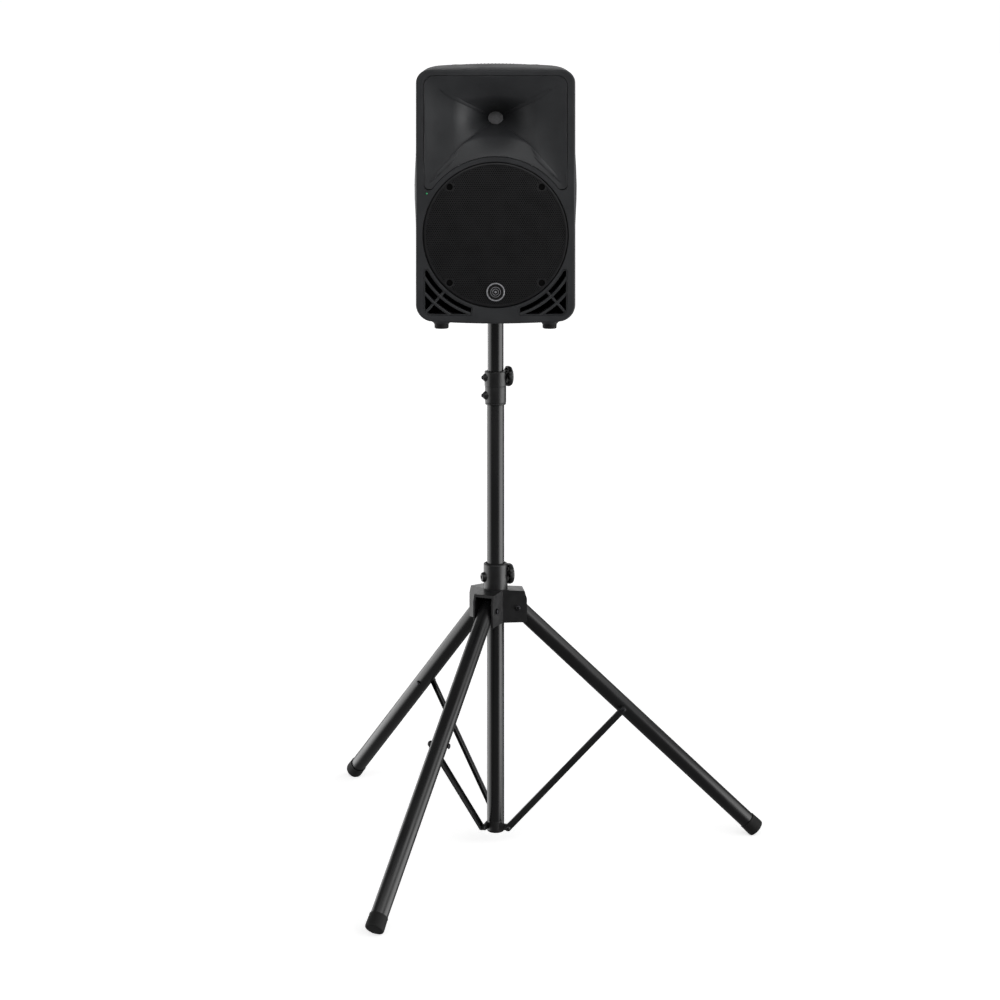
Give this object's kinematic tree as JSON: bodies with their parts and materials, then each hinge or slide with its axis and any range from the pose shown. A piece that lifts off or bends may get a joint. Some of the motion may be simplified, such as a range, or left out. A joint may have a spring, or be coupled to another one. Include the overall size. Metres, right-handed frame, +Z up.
{
  "type": "pa speaker on tripod stand",
  "caption": "Powered two-way loudspeaker with a horn and round grille, on a telescoping pole with a folding tripod base.",
  "frame": {"origin": "centre of the flat underside of the column's rubber cap, on the column's axis; the floor is 27 mm below it", "axes": "+Z up along the column and pole, -Y the way the loudspeaker faces, +X to the right of someone looking at its front"},
  "size_m": [0.9525, 1.036, 1.7185],
  "materials": {
    "coated_tube": "satin black coating on aluminium tube",
    "rubber": "matte moulded rubber",
    "moulded_nylon": "satin black moulded nylon",
    "dark_steel": "blackened steel",
    "cabinet": "charcoal moulded plastic with a fine leather-like grain",
    "grille_steel": "black powder-coated perforated steel",
    "bright_trim": "satin bright ring on a black disc",
    "green_lens": "translucent green lens",
    "cone_paper": "coated black paper pulp",
    "coated_panel": "black anodised die casting",
    "throat_mesh": "grey woven wire",
    "circuit_board": "green solder mask",
    "copper_winding": "varnished copper winding"
  },
  "bodies": {
    "column": {"main_tube": "coated_tube", "tube_bottom_cap": "rubber", "bottom_bracket": "coated_tube", "upper_collar": "moulded_nylon", "collar_screw_upper": "dark_steel", "collar_screw_lower": "dark_steel"},
    "hub": {"leg_hub": "moulded_nylon", "leg_pivot_bolt_right": "dark_steel", "leg_pivot_bolt_front": "dark_steel", "leg_pivot_bolt_rear": "dark_steel"},
    "hub_clamp": {"hub_knob": "moulded_nylon"},
    "upper_clamp": {"upper_knob": "moulded_nylon"},
    "glide": {"pole_glide": "moulded_nylon"},
    "pole": {"inner_pole": "coated_tube"},
    "speaker": {"front_baffle": "cabinet", "rear_shell": "cabinet", "horn_waveguide": "cabinet", "throat_screen": "throat_mesh", "compression_driver": "dark_steel", "woofer_grille": "grille_steel", "grille_screw_1": "dark_steel", "grille_screw_2": "dark_steel", "grille_screw_3": "dark_steel", "grille_screw_4": "dark_steel", "badge": "bright_trim", "woofer_basket": "dark_steel", "woofer_magnet": "dark_steel", "woofer_surround": "rubber", "front_led": "green_lens", "port_duct_left": "cabinet", "port_duct_right": "cabinet", "cabinet_foot_front_left": "rubber", "cabinet_foot_front_right": "rubber", "cabinet_foot_rear_left": "rubber", "cabinet_foot_rear_right": "rubber", "pole_socket": "moulded_nylon", "amp_panel": "coated_panel", "power_inlet": "moulded_nylon", "input_socket": "dark_steel", "output_socket": "dark_steel", "amp_board": "circuit_board", "mains_transformer": "copper_winding", "top_handle": "cabinet"},
    "cone": {"woofer_cone": "cone_paper"},
    "level": {"level_knob": "moulded_nylon"},
    "mic_line": {"mic_line_button": "moulded_nylon"},
    "contour": {"contour_button": "moulded_nylon"},
    "power": {"power_switch": "moulded_nylon"},
    "leg_right": {"leg_tube_right": "coated_tube", "leg_foot_right": "rubber", "brace_bolt_right": "dark_steel"},
    "strut_right": {"brace_right": "coated_tube"},
    "leg_front": {"leg_tube_front": "coated_tube", "leg_foot_front": "rubber", "brace_bolt_front": "dark_steel"},
    "strut_front": {"brace_front": "coated_tube"},
    "leg_rear": {"leg_tube_rear": "coated_tube", "leg_foot_rear": "rubber", "brace_bolt_rear": "dark_steel"},
    "strut_rear": {"brace_rear": "coated_tube"}
  },
  "joints": [
    {"name": "hub_slide", "type": "slide", "parent": "column", "child": "hub", "axis": [0, 0, 1], "range_m": [0, 0.20377]},
    {"name": "leg_fold_right", "type": "hinge", "parent": "hub", "child": "leg_right", "pos_m": [0.04577, 0.0046, 0.49562], "axis": [-0.1, 0.995, 0], "range_deg": [0, 46.5]},
    {"name": "brace_fold_right", "type": "hinge", "parent": "leg_right", "child": "strut_right", "pos_m": [0.27839, 0.02798, 0.26549], "axis": [0.1, -0.995, 0], "range_deg": [0, 89.37]},
    {"name": "leg_fold_front", "type": "hinge", "parent": "hub", "child": "leg_front", "pos_m": [-0.0189, -0.04194, 0.49562], "axis": [0.9117, -0.4109, 0], "range_deg": [0, 46.5]},
    {"name": "brace_fold_front", "type": "hinge", "parent": "leg_front", "child": "strut_front", "pos_m": [-0.11496, -0.25508, 0.26549], "axis": [-0.9117, 0.4109, 0], "range_deg": [0, 89.37]},
    {"name": "leg_fold_rear", "type": "hinge", "parent": "hub", "child": "leg_rear", "pos_m": [-0.02687, 0.03734, 0.49562], "axis": [-0.8117, -0.5841, 0], "range_deg": [0, 46.5]},
    {"name": "brace_fold_rear", "type": "hinge", "parent": "leg_rear", "child": "strut_rear", "pos_m": [-0.16343, 0.2271, 0.26549], "axis": [0.8117, 0.5841, 0], "range_deg": [0, 89.37]},
    {"name": "hub_clamp_turn", "type": "hinge", "parent": "hub", "child": "hub_clamp", "pos_m": [0.02853, 0.00927, 0.565], "axis": [0.9511, 0.309, 0], "range_deg": [0, 360]},
    {"name": "upper_clamp_turn", "type": "hinge", "parent": "column", "child": "upper_clamp", "pos_m": [0.02663, 0.00865, 1.001], "axis": [0.9511, 0.309, 0], "range_deg": [0, 360]},
    {"name": "height_slide", "type": "slide", "parent": "column", "child": "glide", "axis": [0, 0, 1], "range_m": [-0.1, 0.5]},
    {"name": "pole_swivel", "type": "hinge", "parent": "glide", "child": "pole", "pos_m": [0, 0, 0.323], "axis": [0, 0, 1], "continuous": true},
    {"name": "lift_off", "type": "slide", "parent": "pole", "child": "speaker", "axis": [0, 0, 1], "range_m": [0, 0.085]},
    {"name": "cone_travel", "type": "slide", "parent": "speaker", "child": "cone", "axis": [0, -1, 0], "range_m": [-0.004, 0.004], "stiffness_N_per_m": 3000},
    {"name": "level_turn", "type": "hinge", "parent": "speaker", "child": "level", "pos_m": [0, 0.15, 1.352], "axis": [0, -1, 0], "range_deg": [-150, 150]},
    {"name": "mic_line_press", "type": "slide", "parent": "speaker", "child": "mic_line", "axis": [0, -1, 0], "range_m": [0, 0.0025], "stiffness_N_per_m": 300},
    {"name": "contour_press", "type": "slide", "parent": "speaker", "child": "contour", "axis": [0, -1, 0], "range_m": [0, 0.0025], "stiffness_N_per_m": 300},
    {"name": "power_rock", "type": "hinge", "parent": "speaker", "child": "power", "pos_m": [0.034, 0.147, 1.24], "axis": [1, 0, 0], "range_deg": [0, 16]}
  ],
  "couplings": [
    {"joint": "leg_fold_right", "follows": "hub_slide", "rad_per_m": 3.9827},
    {"joint": "brace_fold_right", "follows": "hub_slide", "rad_per_m": 7.654},
    {"joint": "leg_fold_front", "follows": "hub_slide", "rad_per_m": 3.9827},
    {"joint": "brace_fold_front", "follows": "hub_slide", "rad_per_m": 7.654},
    {"joint": "leg_fold_rear", "follows": "hub_slide", "rad_per_m": 3.9827},
    {"joint": "brace_fold_rear", "follows": "hub_slide", "rad_per_m": 7.654}
  ]
}
